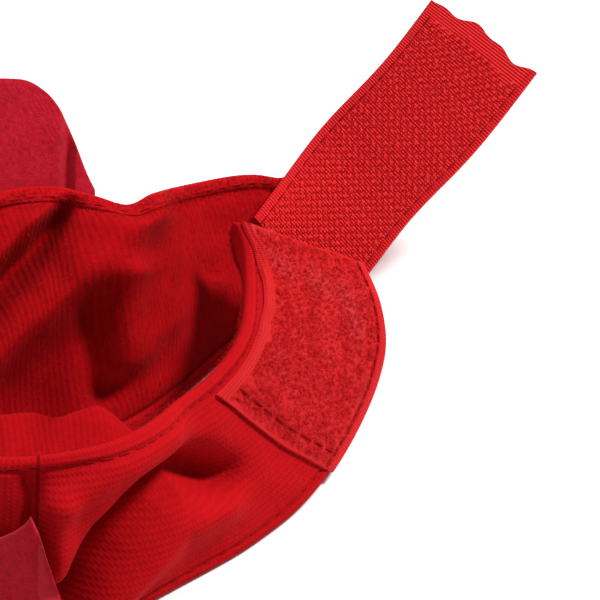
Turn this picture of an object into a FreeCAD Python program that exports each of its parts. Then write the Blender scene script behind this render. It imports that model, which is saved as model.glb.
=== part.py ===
"""Wrist pin cushion: a soft padded band with a stuffed cushion on felt, closed by hook and loop tape.

Frame: millimetres, +Z up. The band stands on its lower rim, the cushion faces -X, and the open
closure is at +X. The origin is at the middle of the whole object's footprint, on the ground.
"""
import math
import os

import FreeCAD
import Part

Vector = FreeCAD.Vector

# ---- Driving dimensions ---------------------------------------------------------------------
cover_thick = 1.3          # knit outer cover
lining_thick = 1.7         # brushed inner lining
ply_gap = 0.1              # each side of the sewn line between cover and lining
flex_gap = 1.3             # room at each bending line, so that the plies can turn
seat_gap = 0.12            # between flat pieces that are sewn together
tape_gap = 0.35            # under the loop tape, which lies on a twisted stretch of the band

tape_width = 25.0          # both tapes
tape_thick = 0.7           # woven ground of the tapes
pile_height = 0.9          # loops, or hooks, above the ground
tape_total = tape_thick + pile_height
hook_gap = 0.5             # between the band's end and the free part of the hook tape

felt_thick = 1.4
felt_gap = 0.6             # between the felt wings and the band that they lie on
base_radius = 27.0         # felt base under the cushion
cushion_radius = 24.0
cushion_height = 25.0
cushion_cover_thick = 1.0
base_disc_thick = 1.0      # fabric that closes the cushion's underside
guard_radius = 22.0        # stiff disc that stops the pins
guard_thick = 0.8
cushion_y = -60.0          # cushion axis, in the layout below
cushion_z = 27.6
seam_thread = 0.5          # thread proud of the surface
thread_seat = 0.25         # under the thread
stitch_long = 2.4
stitch_gap = 0.9
stitch_wide = 0.55
topstitch_inset = 2.2      # row of stitching from the upper rim
lower_inset = 2.8          # and from the lower rim, clear of the ground
tape_stitch_inset = 2.0    # rows of stitching from the tape's edges
steps_per_span = 6         # facets between two stations of the band

# ---- Layout ---------------------------------------------------------------------------------
# Each station across the band is its point on the upper rim and its point on the lower rim.
# They go from the back arm's end, round the cushion, to the near arm's end.
band_stations = [
    ((1.7, 17.0, 20.5), (9.0, 0.0, 0.0)),
    ((-4.0, 14.0, 19.2), (1.0, -4.0, 0.0)),
    ((-13.3, 10.5, 22.5), (-9.0, -12.0, 0.0)),
    ((-33.0, -8.5, 32.5), (-31.0, -38.0, 0.0)),
    ((-45.0, -12.5, 38.0), (-47.0, -43.5, 0.0)),
    ((-59.0, -18.0, 40.0), (-61.0, -46.0, 0.0)),
    ((-68.5, -31.0, 41.0), (-69.5, -51.0, 0.0)),
    ((-70.0, -47.0, 40.0), (-71.0, -62.0, 0.0)),
    ((-70.0, -60.0, 38.0), (-71.0, -74.0, 0.0)),
    ((-66.0, -74.0, 35.5), (-67.5, -85.0, 0.0)),
    ((-57.0, -80.5, 33.0), (-58.5, -91.5, 0.0)),
    ((-45.5, -82.5, 33.5), (-47.0, -93.0, 0.0)),
    ((-35.5, -79.5, 33.5), (-36.0, -89.5, 0.0)),
    ((-26.5, -71.5, 32.0), (-24.0, -81.5, 0.0)),
    ((-18.0, -58.0, 28.5), (-8.0, -68.0, 0.0)),
    ((-11.5, -44.0, 27.0), (4.0, -53.5, 1.2)),
    ((-10.0, -28.5, 24.0), (13.0, -31.0, 2.0)),
    ((-10.5, -15.0, 22.5), (15.5, -16.0, 6.0)),
    ((-12.0, -8.5, 27.0), (11.5, -1.0, 10.5)),
]
back_seam = 3.0            # stations of the bending lines
near_seam = 11.0
patch_line = 14.05
last_station = 18.0

# The line under the middle of the hook tape, on the band's sewn line, and the direction across it, from its sewn root to its cut end.
tape_stations = [
    ((-0.7, -0.2, 9.0), (0.64, -0.27, -0.745)),
    ((6.0, 7.6, 13.8), (0.66, -0.41, -0.63)),
    ((12.0, 14.0, 18.9), (0.67, -0.47, -0.57)),
    ((18.5, 18.7, 24.1), (0.69, -0.46, -0.56)),
    ((26.0, 23.9, 30.2), (0.73, -0.44, -0.53)),
    ((35.2, 31.5, 39.3), (0.80, -0.39, -0.46)),
]
tape_facing = (0.0, -0.766, 0.643)   # the hooks' side; the tape lies on the lining on that side
tape_bends = (1.75, 3.6)   # bending lines of the free tape


def vector(point):
    return Vector(*point)


def spline(points):
    curve = Part.BSplineCurve()
    curve.interpolate(Points=points, Parameters=[float(i) for i in range(len(points))])
    return curve


class Strip:
    """A ruled strip between two smooth rims; along counts stations and across goes from 0 to 1."""

    def __init__(self, upper, lower):
        self.upper = spline(upper)
        self.lower = spline(lower)

    def frame(self, along):
        """Point on the upper rim, vector across to the lower rim, and the outward unit normal."""
        top = self.upper.value(along)
        cross = self.lower.value(along) - top
        step = 0.02
        before = (self.upper.value(along - step) + self.lower.value(along - step)) * 0.5
        after = (self.upper.value(along + step) + self.lower.value(along + step)) * 0.5
        normal = (after - before).cross(cross)
        normal.normalize()
        return top, cross, normal * -1.0

    def point(self, along, across, height):
        top, cross, normal = self.frame(along)
        return top + cross * across + normal * height

    def width(self, along):
        return self.frame(along)[1].Length

    def travel(self, along, distance):
        """The station that lies a distance further along the middle of the strip."""
        speed = (self.point(along + 0.05, 0.5, 0) - self.point(along - 0.05, 0.5, 0)).Length / 0.1
        return along + distance / speed


def value_at(limit, along):
    return limit(along) if callable(limit) else limit


def prism(sections):
    """A closed solid through four-cornered sections, with flat facets."""
    faces = []
    for first, second in zip(sections, sections[1:]):
        for i in range(4):
            j = (i + 1) % 4
            a, b, c, d = first[i], first[j], second[j], second[i]
            if i == 2:         # the outer face is split along the same line as the inner one
                a, b, c, d = b, c, d, a
            for corners in ((a, b, c), (a, c, d)):
                faces.append(Part.Face(Part.makePolygon(list(corners) + [corners[0]])))
    for end in (sections[0], sections[-1]):
        faces.append(Part.Face(Part.makePolygon(list(end) + [end[0]])))
    solid = Part.Solid(Part.Shell(faces))
    if solid.Volume < 0:
        solid.reverse()
    return solid


def section(strip, along, low, high, inner, outer):
    low, high = value_at(low, along), value_at(high, along)
    return [strip.point(along, low, inner), strip.point(along, high, inner),
            strip.point(along, high, outer), strip.point(along, low, outer)]


def layer(strip, start, stop, inner, outer, low=0.0, high=1.0, steps=steps_per_span):
    """One ply of a strip between two stations and two heights above its sewn line."""
    count = max(2, round(abs(stop - start) * steps))
    places = [start + (stop - start) * i / count for i in range(count + 1)]
    return prism([section(strip, s, low, high, inner, outer) for s in places])


def stitches_along(strip, start, stop, across, height):
    """A row of stitches along a strip; across is a share of its width, or a function of place."""
    dashes = []
    place = start
    while True:
        end = strip.travel(place, stitch_long)
        if end > stop:
            return dashes
        middle = value_at(across, (place + end) / 2)
        half = stitch_wide / 2 / strip.width(place)
        dashes.append(layer(strip, place, end, height, height + seam_thread,
                            middle - half, middle + half, steps=1))
        place = strip.travel(end, stitch_gap)


def stitches_across(strip, along, low, high, height):
    """A row of stitches straight across a strip."""
    dashes = []
    width = strip.width(along)
    pitch = (stitch_long + stitch_gap) / width
    left = strip.travel(along, -stitch_wide / 2)
    right = strip.travel(along, stitch_wide / 2)
    place = low
    while place + stitch_long / width <= high:
        dashes.append(layer(strip, left, right, height, height + seam_thread,
                            place, place + stitch_long / width, steps=1))
        place += pitch
    return dashes


band = Strip([vector(top) for top, low in band_stations], [vector(low) for top, low in band_stations])
cover_face = ply_gap + cover_thick
lining_face = -(ply_gap + lining_thick)

# The rims press flat where they stand.
ground_size, ground_depth = 400.0, 20.0
ground = Part.makeBox(ground_size, ground_size, ground_depth,
                      Vector(-ground_size / 2, -ground_size / 2, -ground_depth))

nodes = {}


def plies(name, start, stop, taped=False):
    """The cover, the lining and the stitching along the rims; a tape covers the lower row."""
    nodes[name + "_cover"] = layer(band, start, stop, ply_gap, cover_face).cut(ground)
    nodes[name + "_lining"] = layer(band, start, stop, lining_face, -ply_gap).cut(ground)
    first, last = band.travel(start, 1.0), band.travel(stop, -1.0)
    height = cover_face + thread_seat
    rows = stitches_along(band, first, last, lambda s: topstitch_inset / band.width(s), height)
    if not taped:
        rows += stitches_along(band, first, last, lambda s: 1 - lower_inset / band.width(s), height)
    nodes[name + "_topstitch"] = Part.Compound(rows)


def either_side(strip, line):
    return strip.travel(line, -flex_gap / 2), strip.travel(line, flex_gap / 2)


back_before, back_after = either_side(band, back_seam)
near_before, near_after = either_side(band, near_seam)
patch_before, patch_after = either_side(band, patch_line)
plies("back_arm", 0.0, back_before)
plies("centre", back_after, near_before)
plies("near_arm", near_after, patch_before)
plies("near_end", patch_after, last_station, taped=True)

# Rows of thread beside the two cross seams, on the centre section's side.
seam_inset = 1.6
for name, line, way in (("back_seam_thread", back_after, 1), ("near_seam_thread", near_before, -1)):
    place = band.travel(line, way * seam_inset)
    margin = (lower_inset + stitch_wide) / band.width(place)
    nodes[name] = Part.Compound(stitches_across(band, place, margin, 1 - margin, cover_face + thread_seat))

# Loop tape on the outer face of the near end. Its cut end slants from the upper to the lower rim.
tape_lower = 0.99          # share of the band's width where the tape's lower edge lies
cut_upper, cut_lower = 14.25, 15.1   # stations of the cut end at the tape's upper and lower edge
tape_stop = band.travel(last_station, -0.8)
tape_seat = cover_face + tape_gap
thin_end = 0.05


def tape_upper(s):
    return tape_lower - tape_width / band.width(s)


def tape_bottom(s):
    """The tape's lower edge, or its cut end where that comes first."""
    share = (s - cut_upper) / (cut_lower - cut_upper)
    return min(tape_lower, tape_upper(s) + thin_end + share * (tape_lower - tape_upper(s)))


nodes["loop_tape"] = layer(band, cut_upper, tape_stop, tape_seat, tape_seat + tape_total,
                           tape_upper, tape_bottom, steps=2 * steps_per_span)
row_height = tape_seat + tape_total + thread_seat
row_stop = band.travel(tape_stop, -tape_stitch_inset)
upper_start = band.travel(cut_upper, 2.5 * tape_stitch_inset)
lower_start = band.travel(cut_lower, tape_stitch_inset)
row_low = tape_upper(row_stop) + tape_stitch_inset / band.width(row_stop)
row_high = tape_lower - tape_stitch_inset / band.width(row_stop)
loop_rows = stitches_along(band, upper_start, row_stop,
                           lambda s: tape_upper(s) + tape_stitch_inset / band.width(s), row_height)
loop_rows += stitches_along(band, lower_start, row_stop,
                            lambda s: tape_lower - tape_stitch_inset / band.width(s), row_height)
between = (stitch_wide + stitch_gap) / band.width(row_stop)
loop_rows += stitches_across(band, row_stop, row_low + between, row_high - between, row_height)
slant_rows = 7
for i in range(slant_rows):
    share = (i + 1.5) / (slant_rows + 2)
    place = band.travel(upper_start + share * (lower_start - upper_start), 0.5)
    middle = tape_upper(place) + share * (tape_lower - tape_upper(place))
    loop_rows += stitches_across(band, place, middle - stitch_long / 2 / band.width(place),
                                 middle + (stitch_long / 2 + 0.01) / band.width(place), row_height)
nodes["loop_tape_stitching"] = Part.Compound(loop_rows)

# Hook tape: a sewn root on the back arm's inner face, and a free tab in two bending lengths.
upper_edge, lower_edge = [], []
for middle, across in tape_stations:
    side = vector(across)
    side.normalize()
    lifted = vector(middle) + vector(tape_facing) * (ply_gap + lining_thick)
    upper_edge.append(lifted - side * (tape_width / 2))
    lower_edge.append(lifted + side * (tape_width / 2))
tape = Strip(upper_edge, lower_edge)
tape_end = float(len(tape_stations) - 1)
root_before, root_after = either_side(tape, tape_bends[0])
tip_before, tip_after = either_side(tape, tape_bends[1])
hook_in, hook_out = -tape_total / 2, tape_total / 2
nodes["hook_tape_root"] = layer(tape, 0.0, root_before, hook_in, hook_out)
nodes["hook_tape_middle"] = layer(tape, root_after, tip_before, hook_in, hook_out)
nodes["hook_tape_tip"] = layer(tape, tip_after, tape_end, hook_in, hook_out)
hook_face = hook_out + thread_seat
root_row = stitches_across(tape, tape.travel(0.0, tape_stitch_inset), 0.1, 0.9, hook_face)
root_row += stitches_across(tape, tape.travel(root_before, -tape_stitch_inset), 0.1, 0.9, hook_face)
nodes["hook_tape_stitching"] = Part.Compound(root_row)

# Felt: a round base under the cushion, and two wings that lie on the outside of the band.
wing_seat = cover_face + thread_seat + seam_thread + felt_gap
back_wing_line, near_wing_line = 5.75, 9.35
back_wing_tip, near_wing_tip = 3.65, 10.9


def back_wing_top(s):
    share = min(1.0, (s - back_wing_tip) / 0.9)
    return -0.03 - 0.5 * share


def near_wing_top(s):
    return 0.48 - 0.16 * (s - near_wing_line) / (near_wing_tip - near_wing_line)


nodes["felt_wing_back"] = layer(band, back_wing_tip, back_wing_line, wing_seat, wing_seat + felt_thick,
                                back_wing_top, 0.6)
nodes["felt_wing_near"] = layer(band, near_wing_line, near_wing_tip, wing_seat, wing_seat + felt_thick,
                                near_wing_top, 0.95)

base_face = -73.6          # where the felt base lies against the band
toward = Vector(-1, 0, 0)


def on_axis(depth):
    return Vector(base_face - depth, cushion_y, cushion_z)


def disc(radius, thick, depth):
    return Part.makeCylinder(radius, thick, on_axis(depth), toward)


nodes["felt_base"] = disc(base_radius, felt_thick, 0)
guard_depth = felt_thick + seat_gap
nodes["pin_guard_disc"] = disc(guard_radius, guard_thick, guard_depth)
disc_depth = guard_depth + guard_thick + seat_gap
nodes["cushion_base_disc"] = disc(cushion_radius, base_disc_thick, disc_depth)
dome_depth = disc_depth + base_disc_thick + seat_gap


def dome(radius, height, depth):
    """A round cushion: a cap of a sphere above a short side that pulls in to the seam."""
    belly = height * 0.4
    seam_radius = radius * 0.93
    side = Part.Arc(Vector(seam_radius, 0, 0), Vector(radius * 0.995, 0, belly * 0.45),
                    Vector(radius, 0, belly)).toShape()
    rise = height - belly
    sphere_radius = (radius ** 2 + rise ** 2) / (2 * rise)
    half_angle = math.atan2(radius, sphere_radius - rise) / 2
    middle = Vector(sphere_radius * math.sin(half_angle), 0,
                    height - sphere_radius * (1 - math.cos(half_angle)))
    top = Vector(0, 0, height)
    crown = Part.Arc(Vector(radius, 0, belly), middle, top).toShape()
    origin = Vector(0, 0, 0)
    wire = Part.Wire([side, crown, Part.makeLine(top, origin),
                      Part.makeLine(origin, Vector(seam_radius, 0, 0))])
    body = Part.Face(wire).revolve(origin, Vector(0, 0, 1), 360)
    body.Placement = FreeCAD.Placement(on_axis(depth), FreeCAD.Rotation(Vector(0, 0, 1), toward))
    return body


nodes["cushion_core"] = dome(cushion_radius - cushion_cover_thick - seat_gap,
                             cushion_height - cushion_cover_thick - seat_gap, dome_depth)
hollow = dome(cushion_radius - cushion_cover_thick, cushion_height - cushion_cover_thick, dome_depth)
nodes["cushion_cover"] = dome(cushion_radius, cushion_height, dome_depth).cut(hollow)

# Thread that holds the cushion on the felt: short stitches round its edge.
thread_radius = cushion_radius + 0.4
ring = []
stitch_count = 36
for i in range(stitch_count):
    box = Part.makeBox(seam_thread, stitch_wide, stitch_long,
                       Vector(base_face - felt_thick - thread_seat - seam_thread,
                              cushion_y - stitch_wide / 2, cushion_z + thread_radius))
    box.rotate(on_axis(0), toward, 360 * i / stitch_count)
    ring.append(box)
nodes["cushion_seam_thread"] = Part.Compound(ring)

# ---- Origin, joint lines and files ------------------------------------------------------------
whole = Part.Compound(list(nodes.values())).BoundBox
shift = Vector(-(whole.XMin + whole.XMax) / 2, -(whole.YMin + whole.YMax) / 2, -whole.ZMin)


def bending_line(strip, along):
    """The middle and the direction of a line across a strip, from its lower rim to its upper rim."""
    top, cross, normal = strip.frame(along)
    direction = cross * -1.0
    direction.normalize()
    return top + cross * 0.5 + shift, direction


wing_height = wing_seat + felt_thick / 2
joint_lines = {
    "back_arm_bend": bending_line(band, back_seam),
    "near_arm_bend": bending_line(band, near_seam),
    "near_end_bend": bending_line(band, patch_line),
    "tab_bend": bending_line(tape, tape_bends[0]),
    "tab_tip_bend": bending_line(tape, tape_bends[1]),
    "back_wing_lift": bending_line(band, back_wing_line),
    "near_wing_lift": bending_line(band, near_wing_line),
}
for name, line in (("back_wing_lift", back_wing_line), ("near_wing_lift", near_wing_line)):
    middle, direction = joint_lines[name]
    joint_lines[name] = (middle + band.frame(line)[2] * wing_height, direction)

os.makedirs("parts", exist_ok=True)
for name, shape in nodes.items():
    shape.translate(shift)
    shape.exportStep("parts/" + name + ".step")
    print(name, "valid" if shape.isValid() else "NOT VALID", round(shape.Volume, 1))
for name, (middle, direction) in joint_lines.items():
    print(name, [round(v, 3) for v in middle], [round(v, 4) for v in direction])
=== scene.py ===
"""Looks of the wrist pin cushion: knit band, tapes, felt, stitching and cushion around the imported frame."""
import math

import bmesh
import bpy
import numpy as np
from mathutils import Matrix, Vector


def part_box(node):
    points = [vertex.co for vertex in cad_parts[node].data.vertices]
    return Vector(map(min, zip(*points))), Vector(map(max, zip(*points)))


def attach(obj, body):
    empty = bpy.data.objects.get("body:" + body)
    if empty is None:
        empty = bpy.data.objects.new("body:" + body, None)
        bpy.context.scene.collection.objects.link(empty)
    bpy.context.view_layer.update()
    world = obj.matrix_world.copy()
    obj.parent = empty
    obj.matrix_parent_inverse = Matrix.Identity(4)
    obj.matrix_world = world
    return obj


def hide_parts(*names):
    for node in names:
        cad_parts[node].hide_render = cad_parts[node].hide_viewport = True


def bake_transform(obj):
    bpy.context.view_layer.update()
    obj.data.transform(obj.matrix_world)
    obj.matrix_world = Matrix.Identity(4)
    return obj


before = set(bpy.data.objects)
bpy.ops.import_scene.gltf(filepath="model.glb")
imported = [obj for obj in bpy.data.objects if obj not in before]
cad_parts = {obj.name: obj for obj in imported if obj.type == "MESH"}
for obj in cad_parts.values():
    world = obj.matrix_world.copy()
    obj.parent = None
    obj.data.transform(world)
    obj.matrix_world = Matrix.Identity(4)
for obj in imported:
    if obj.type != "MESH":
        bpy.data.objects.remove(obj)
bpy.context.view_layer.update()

MM = 0.001
TAU = 2 * math.pi

# ---- Sizes, in millimetres ----
cover_height = 1.4         # outer face above the sewn line
lining_height = 1.8        # inner face below it
rim_round = 1.7            # rounding of the folded rims
seam_inset = 2.1           # row of stitching from a rim
seam_depth = 0.55          # how far a row of stitching pulls the cloth in
back_hem, near_hem = 2.9, 0.9   # cover turned over the rim to the inside
grid_step = 0.62           # size of the cloth's mesh cells
tape_width = 25.0
patch_width = 29.0         # across the loop tape, which is pressed flat and wide
tape_seat = -0.9           # back of the hook tape, from its middle
ground_thick = 0.7         # woven ground of both tapes
selvedge = 1.9             # plain woven edge of both tapes
hook_pitch = 1.7
stitch_pitch, stitch_long = 3.3, 2.5
first_hook = 0.7           # from the tape's root to its first row of hooks
cord_pitch = 0.62          # cords woven along the selvedges
tape_cell = 0.5            # size of the tapes' mesh cells
seam_pull = 2.4            # depth of the hollow where the near seam draws the cover in
wing_clear = 3.6           # how far the front felt stands off past the near seam
station_size, band_size = 12.0, 38.0   # usual length of a station and width of the band
felt_thick = 1.4
notch_depth = 2.2          # dip of the upper rim at the back seam
roll_out, roll_up, roll_span = 13.0, 6.0, 0.36   # the lining's roll: inward, upward, and its share of the width
flex_reach = 4.5           # reach each side of a bending line, used only to find the stretch there,
patch_flex = 1.6           # and less beside the loop tape

# ---- Layout, in millimetres ----
# Points on the upper and the lower rim of the band, from the back arm's end to the near arm's.
band_stations = [
    ((1.7, 17.0, 20.5), (9.0, 0.0, 0.0)),
    ((-4.0, 14.0, 19.2), (1.0, -4.0, 0.0)),
    ((-13.3, 10.5, 22.5), (-9.0, -12.0, 0.0)),
    ((-33.0, -8.5, 32.5), (-31.0, -38.0, 0.0)),
    ((-45.0, -12.5, 38.0), (-47.0, -43.5, 0.0)),
    ((-59.0, -18.0, 40.0), (-61.0, -46.0, 0.0)),
    ((-68.5, -31.0, 41.0), (-69.5, -51.0, 0.0)),
    ((-70.0, -47.0, 40.0), (-71.0, -62.0, 0.0)),
    ((-70.0, -60.0, 38.0), (-71.0, -74.0, 0.0)),
    ((-66.0, -74.0, 35.5), (-67.5, -85.0, 0.0)),
    ((-57.0, -80.5, 33.0), (-58.5, -91.5, 0.0)),
    ((-45.5, -82.5, 33.5), (-47.0, -93.0, 0.0)),
    ((-35.5, -79.5, 33.5), (-36.0, -89.5, 0.0)),
    ((-26.5, -71.5, 32.0), (-24.0, -81.5, 0.0)),
    ((-18.0, -58.0, 28.5), (-8.0, -68.0, 0.0)),
    ((-11.5, -44.0, 27.0), (4.0, -53.5, 1.2)),
    ((-10.0, -28.5, 24.0), (13.0, -31.0, 2.0)),
    ((-10.5, -15.0, 22.5), (15.5, -16.0, 6.0)),
    ((-12.0, -8.5, 27.0), (11.5, -1.0, 10.5)),
]
back_seam, near_seam, patch_line, last_station = 3.0, 11.0, 14.05, 18.0
tape_stations = [
    ((-0.7, -0.2, 9.0), (0.64, -0.27, -0.745)),
    ((6.0, 7.6, 13.8), (0.66, -0.41, -0.63)),
    ((12.0, 14.0, 18.9), (0.67, -0.47, -0.57)),
    ((18.5, 18.7, 24.1), (0.69, -0.46, -0.56)),
    ((26.0, 23.9, 30.2), (0.73, -0.44, -0.53)),
    ((35.2, 31.5, 39.3), (0.80, -0.39, -0.46)),
]
tape_facing = np.array((0.0, -0.766, 0.643))
tape_bends = (1.75, 3.6)
felt_middle = np.array((-74.3, -60.0, 27.6))   # where the layout puts the middle of the felt base


def middle_of(node):
    low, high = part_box(node)
    return (np.array(low) + np.array(high)) / 2


layout_shift = middle_of("felt_base") / MM - felt_middle


def spline(points):
    """A natural cubic curve through the points, as a function of the station number."""
    points = np.array(points, float)
    count = len(points)
    system, right = np.zeros((count, count)), np.zeros((count, 3))
    system[0, 0] = system[-1, -1] = 1
    for i in range(1, count - 1):
        system[i, i - 1:i + 2] = (1, 4, 1)
        right[i] = 6 * (points[i - 1] - 2 * points[i] + points[i + 1])
    bend = np.linalg.solve(system, right)

    def curve(along):
        along = np.atleast_1d(np.asarray(along, float))
        i = np.clip(along.astype(int), 0, count - 2)
        u = (along - i)[:, None]
        v = 1 - u
        return v * points[i] + u * points[i + 1] + ((v ** 3 - v) * bend[i] + (u ** 3 - u) * bend[i + 1]) / 6

    return curve


def unit(vectors):
    return vectors / np.maximum(np.linalg.norm(vectors, axis=-1, keepdims=True), 1e-9)


class Strip:
    """A ruled strip between two smooth rims; along counts stations, across goes from 0 to 1."""

    def __init__(self, upper, lower):
        self.upper, self.lower = spline(upper), spline(lower)
        places = np.linspace(0, len(upper) - 1, 40 * len(upper))
        middles = (self.upper(places) + self.lower(places)) / 2
        steps = np.linalg.norm(np.diff(middles, axis=0), axis=1)
        self.places, self.lengths = places, np.concatenate(([0], np.cumsum(steps)))

    def frame(self, along):
        top = self.upper(along)
        cross = self.lower(along) - top
        run = self.run(along)
        return top, cross, -unit(np.cross(run, cross))

    def run(self, along):
        step = 0.02
        ahead, behind = np.asarray(along) + step, np.asarray(along) - step
        return unit(self.upper(ahead) + self.lower(ahead) - self.upper(behind) - self.lower(behind))

    def point(self, along, across, height):
        top, cross, normal = self.frame(along)
        across, height = (np.broadcast_to(value, np.shape(along))[:, None] for value in (across, height))
        return top + cross * across + normal * height

    def outward(self, along):
        return self.frame(along)[2]

    def width(self, along):
        return np.linalg.norm(self.frame(along)[1], axis=1)

    def distance(self, along):
        return np.interp(along, self.places, self.lengths)

    def place(self, distance):
        return np.interp(distance, self.lengths, self.places)


shifted = [[np.array(p) + layout_shift for p in pair] for pair in band_stations]
band = Strip([a for a, b in shifted], [b for a, b in shifted])
tape_middles = [np.array(p) + layout_shift + tape_facing * lining_height for p, a in tape_stations]
tape_sides = [unit(np.array(a)) * tape_width / 2 for p, a in tape_stations]
tape = Strip([m - a for m, a in zip(tape_middles, tape_sides)], [m + a for m, a in zip(tape_middles, tape_sides)])


# ---- How the cloth lies ----
def swell(x, middle, reach):
    """A smooth hill of height 1."""
    return np.exp(-((np.asarray(x) - middle) / reach) ** 2)


def step_up(x, start, stop):
    u = np.clip((np.asarray(x) - start) / (stop - start), 0, 1)
    return u * u * (3 - 2 * u)


def crease(along, across, route, reach, height):
    """A ridge, or a valley where height is negative, along a route of (station, share across)."""
    scale = np.array((station_size, band_size))
    here = np.stack([along, across], -1) * scale
    best = np.full(here.shape[:-1], 1e9)
    for start, stop in zip(route, route[1:]):
        a, b = np.array(start) * scale, np.array(stop) * scale
        share = np.clip(((here - a) @ (b - a)) / ((b - a) @ (b - a)), 0, 1)
        best = np.minimum(best, np.linalg.norm(here - a - share[..., None] * (b - a), axis=-1))
    return height * np.exp(-(best / reach) ** 2)


ripple_draw = np.random.default_rng(7)
ripple_waves = [(ripple_draw.uniform(-1, 1), ripple_draw.uniform(-1, 1), ripple_draw.uniform(0, TAU))
                for _ in range(14)]


def ripple(along, across, size):
    """Soft uneven waves about size millimetres long."""
    x, y = band.distance(along), np.asarray(across) * band_size
    total = 0
    for a, b, phase in ripple_waves:
        total = total + np.sin((a * x + b * y) * TAU / size + phase)
    return total / len(ripple_waves) ** 0.5


# Routes of the folds: (route, reach, height), positive to the outside of the ring.
ring_folds = [
    ([(3.8, 0.03), (4.05, 0.14), (4.35, 0.26), (4.9, 0.42), (5.4, 0.5)], 1.9, 6.0),
    ([(3.85, 0.0), (4.35, 0.11), (4.9, 0.22), (5.4, 0.28)], 2.4, -5.0),
    ([(2.98, 0.0), (3.05, 0.08), (3.4, 0.24), (3.75, 0.38), (4.2, 0.48), (4.9, 0.6)], 4.0, -8.0),
    ([(3.14, 0.34), (3.2, 0.5), (3.2, 0.68)], 3.0, -5.4),
    ([(3.5, 0.46), (3.42, 0.62), (3.3, 0.78)], 2.4, 3.4),
    ([(2.45, 0.05), (2.3, 0.5), (2.1, 0.9)], 5.5, 3.4),
    ([(2.78, 0.1), (2.7, 0.35), (2.75, 0.6)], 3.0, -2.2),
    ([(11.4, 0.8), (11.75, 0.64), (12.16, 0.5), (12.83, 0.36), (13.4, 0.34), (13.85, 0.52)], 3.4, -8.0),
    ([(11.5, 0.22), (12.2, 0.14), (13.2, 0.12)], 3.6, 2.6),
    ([(11.9, 0.95), (12.5, 0.78), (13.1, 0.62), (13.6, 0.66)], 4.2, 3.4),
    ([(11.3, 0.26), (11.28, 0.42), (11.35, 0.62)], 3.2, 3.4),
    ([(10.45, 0.1), (10.35, 0.3)], 3.0, 0.8),
    ([(9.9, 0.2), (9.7, 0.7)], 3.5, -1.2),
]


def drape(along, across):
    """How far the whole band leaves its plain shape."""
    total = 0.35 * ripple(along, across, 26.0)
    for route, reach, height in ring_folds:
        total = total + crease(along, across, route, reach, height)
    total = total * (1 - 0.9 * step_up(along, 13.7, 14.4))
    total = total * step_up(along, 0.6, 1.6)
    total = total * (1 - 0.75 * (1 - step_up(across, 0.0, 0.13)) * swell(along, 4.2, 1.1))
    flat = swell(along, 7.2, 1.3)
    total = total * (1 - flat)
    return total - 2.2 * step_up(along, 17.2, 18.3) * swell(across, 0.45, 0.6)


def outer_puff(along, across, edge):
    """Fullness of the cover between its rims; edge is the distance to the nearer rim."""
    full = step_up(edge, 2.0, 8.0) * (1 - 0.7 * step_up(along, 13.9, 14.6))
    return 0.9 * full + 0.16 * ripple(along, across, 9.0) * step_up(edge, 1.0, 4.0)


def roll(along, across):
    """Share of the lining's roll that stands up inside the near wall's upper rim."""
    ends = step_up(along, 7.9, 9.3) * (1 - step_up(along, 12.0, 13.3))
    return ends * np.sin(math.pi * np.clip((across - 0.03) / roll_span, 0, 1)) ** 2


roll_way = -unit(np.mean(band.outward(np.linspace(9.6, 12.4, 9)), axis=0) * (1, 1, 0)) * roll_out
roll_way[2] = roll_up


def inner_puff(along, across, edge):
    full = 0.8 * step_up(edge, 1.0, 6.0)
    tip = 3.0 * swell(along, 17.4, 0.55) * swell(across, 0.08, 0.1)
    fine = 0.22 * ripple(along, across, 7.0) * step_up(edge, 1.0, 3.0)
    return full + fine + tip


def rounding(edge, least=0.0):
    """Share of the full thickness at a distance from a folded edge."""
    return np.sqrt(np.clip(1 - (1 - np.clip(edge / rim_round, 0, 1)) ** 2, least, 1))


def outer_face(along, across):
    edge = np.minimum(across, 1 - across) * band.width(along)
    groove = seam_depth * swell(edge, seam_inset, 0.5)
    seam = seam_pull * swell(band.distance(along), band.distance(near_seam - 0.1), 1.5) * step_up(edge, 1.0, 4.0)
    return cover_height * rounding(edge) - groove - seam + outer_puff(along, across, edge) + drape(along, across)


def hem_at(along):
    return back_hem + (near_hem - back_hem) * step_up(along, 7.0, 9.0)


def inner_face(along, across):
    edge = np.minimum(across, 1 - across) * band.width(along)
    hem = hem_at(along)
    groove = 0.5 * swell(edge, hem + 0.2, 0.5)
    return -lining_height * rounding(edge) + groove - inner_puff(along, across, edge) + drape(along, across)


def band_point(along, across, height):
    points = band.point(along, across, height)
    notch = swell(band.distance(along), band.distance(back_seam + 0.12), 3.2)
    points[:, 2] -= notch_depth * notch * (1 - step_up(across, 0.0, 0.16))
    points[:, 2] = np.maximum(points[:, 2], 0.0)
    return points


# ---- Meshes ----
def placed(name, data):
    """A new object in the scene, at the origin."""
    thing = bpy.data.objects.new(name, data)
    bpy.context.scene.collection.objects.link(thing)
    return thing


def spots_of(thing):
    return np.array([v.co for v in thing.data.vertices])


def lay_map(mesh, maps):
    """The cloth map: each face corner takes its point's place on the cloth, in millimetres."""
    index = np.zeros(len(mesh.loops), np.int32)
    mesh.loops.foreach_get("vertex_index", index)
    mesh.uv_layers.new(name="cloth").data.foreach_set("uv", np.asarray(maps, np.float32)[index].ravel())


def piece_from(name, points, faces, maps=None, material=None):
    """A smooth mesh object from points in millimetres."""
    mesh = bpy.data.meshes.new(name)
    mesh.from_pydata((np.asarray(points) * MM).tolist(), [], faces)
    if maps is not None:
        lay_map(mesh, maps)
    mesh.polygons.foreach_set("use_smooth", [True] * len(mesh.polygons))
    mesh.update()
    if material:
        mesh.materials.append(material)
    return placed(name, mesh)


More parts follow.
